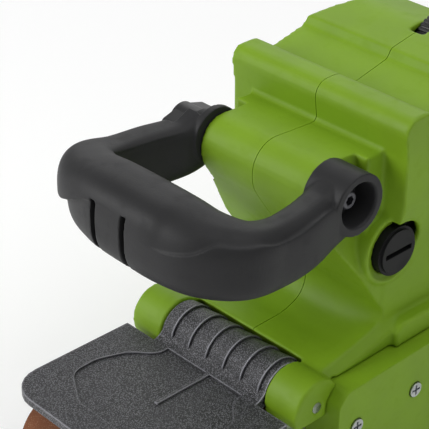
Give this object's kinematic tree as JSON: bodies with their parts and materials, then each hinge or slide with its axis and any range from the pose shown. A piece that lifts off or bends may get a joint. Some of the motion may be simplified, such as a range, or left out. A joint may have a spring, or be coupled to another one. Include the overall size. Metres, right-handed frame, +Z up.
{
  "type": "belt sander",
  "caption": "Handheld belt sander with a moulded housing, a D-shaped front handle that tilts, a hinged roller cover and a working bevel and belt drive.",
  "frame": {"origin": "on the sanding face under the belt, midway between the two rollers, in the parting plane of the housing halves", "axes": "+X forward towards the front handle, +Y to the tool's left, +Z up, away from the sanding face"},
  "size_m": [0.35, 0.1146, 0.1795],
  "materials": {
    "green_shell": "satin moulded plastic",
    "black_plastic": "satin moulded plastic",
    "grained_plastic": "pebble grained plastic",
    "red_plastic": "gloss moulded plastic",
    "soft_rubber": "matt rubber",
    "cast_frame": "as cast",
    "turned_aluminium": "turned",
    "steel": "machined",
    "laminations": "stacked sheet",
    "copper": "enamelled wire",
    "brass": "drawn",
    "carbon": "pressed carbon",
    "abrasive": "abrasive grain on cloth",
    "pad": "graphite cloth"
  },
  "bodies": {
    "housing": {"housing_left": "green_shell", "housing_right": "green_shell", "housing_screws": "steel", "drive_cover": "green_shell", "drive_cover_screws": "steel", "rear_grip": "soft_rubber", "dust_chute": "black_plastic", "cord_bush": "soft_rubber", "base_frame": "cast_frame", "sole_plate": "steel", "platen_pad": "pad", "sanding_belt": "abrasive", "cover_hinge_pin": "steel", "drive_bearings": "steel", "cross_bearings": "steel", "motor_bearings": "steel", "timing_belt": "soft_rubber", "stator_core": "laminations", "field_coils": "copper", "brush_holders": "brass", "carbon_brushes": "carbon", "brush_springs": "steel", "brush_caps": "black_plastic", "lever_pin": "steel", "trigger_pin": "steel", "switch_body": "black_plastic", "tension_spring": "steel"},
    "handle": {"front_handle": "black_plastic", "handle_bolt": "steel"},
    "clamp_knob": {"handle_knob": "black_plastic"},
    "roller_cover": {"front_cover": "grained_plastic"},
    "armature": {"armature_shaft": "steel", "armature_core": "laminations", "armature_windings": "copper", "commutator": "copper", "motor_fan": "black_plastic", "bevel_pinion": "steel"},
    "cross_drive": {"cross_shaft": "steel", "crown_gear": "steel", "cross_pulley": "steel"},
    "drive_roller": {"drive_roller_core": "turned_aluminium", "drive_roller_rubber": "soft_rubber", "drive_shaft": "steel", "drive_pulley": "steel"},
    "carriage": {"tension_carriage": "cast_frame", "front_axle": "steel"},
    "idler_roller": {"front_roller": "turned_aluminium", "front_roller_bearings": "steel"},
    "lever": {"tension_lever": "black_plastic"},
    "tracking": {"tracking_knob": "black_plastic"},
    "trigger": {"trigger": "black_plastic"},
    "lock": {"lock_button": "red_plastic"},
    "dial": {"speed_dial": "black_plastic"}
  },
  "joints": [
    {"name": "handle_tilt", "type": "hinge", "parent": "housing", "child": "handle", "pos_m": [0.018, 0, 0.145], "axis": [0, -1, 0], "range_deg": [0, 90]},
    {"name": "clamp_knob_turn", "type": "hinge", "parent": "handle", "child": "clamp_knob", "pos_m": [0.018, -0.049, 0.145], "axis": [0, 1, 0], "range_deg": [-180, 180]},
    {"name": "cover_flip", "type": "hinge", "parent": "housing", "child": "roller_cover", "pos_m": [0.037, 0, 0.054], "axis": [0, -1, 0], "range_deg": [0, 48]},
    {"name": "armature_spin", "type": "hinge", "parent": "housing", "child": "armature", "pos_m": [-0.045, 0, 0.109], "axis": [1, 0, 0], "continuous": true},
    {"name": "cross_drive_spin", "type": "hinge", "parent": "housing", "child": "cross_drive", "pos_m": [-0.1115, 0, 0.109], "axis": [0, 1, 0], "continuous": true},
    {"name": "drive_roller_spin", "type": "hinge", "parent": "housing", "child": "drive_roller", "pos_m": [-0.09869, 0, 0.0245], "axis": [0, 1, 0], "continuous": true},
    {"name": "lever_swing", "type": "hinge", "parent": "housing", "child": "lever", "pos_m": [0.058, -0.05, 0.021], "axis": [0, 0, 1], "range_deg": [0, 75]},
    {"name": "carriage_slide", "type": "slide", "parent": "housing", "child": "carriage", "axis": [-1, 0, 0], "range_m": [0, 0.007], "deforming": ["tension_spring"]},
    {"name": "idler_spin", "type": "hinge", "parent": "carriage", "child": "idler_roller", "pos_m": [0.09869, -0.012, 0.0205], "axis": [0, 1, 0], "continuous": true},
    {"name": "tracking_knob_turn", "type": "hinge", "parent": "housing", "child": "tracking", "pos_m": [0.066, 0.042, 0.024], "axis": [0, 1, 0], "range_deg": [-180, 180]},
    {"name": "trigger_pull", "type": "hinge", "parent": "housing", "child": "trigger", "pos_m": [-0.11, 0, 0.15], "axis": [0, 1, 0], "range_deg": [0, 7], "stiffness_Nm_per_rad": 1.5, "springref_deg": -3.44},
    {"name": "lock_press", "type": "slide", "parent": "housing", "child": "lock", "axis": [0, -1, 0], "range_m": [0, 0.0025], "stiffness_N_per_m": 500, "springref_m": -0.001},
    {"name": "dial_turn", "type": "hinge", "parent": "housing", "child": "dial", "pos_m": [-0.086, 0, 0.1675], "axis": [0, 1, 0], "range_deg": [-140, 140]}
  ],
  "couplings": [
    {"joint": "cross_drive_spin", "follows": "armature_spin", "ratio": -0.33333},
    {"joint": "drive_roller_spin", "follows": "armature_spin", "ratio": -0.2069},
    {"joint": "idler_spin", "follows": "armature_spin", "ratio": -0.25},
    {"joint": "lever_swing", "follows": "carriage_slide", "rad_per_m": 186.99}
  ]
}
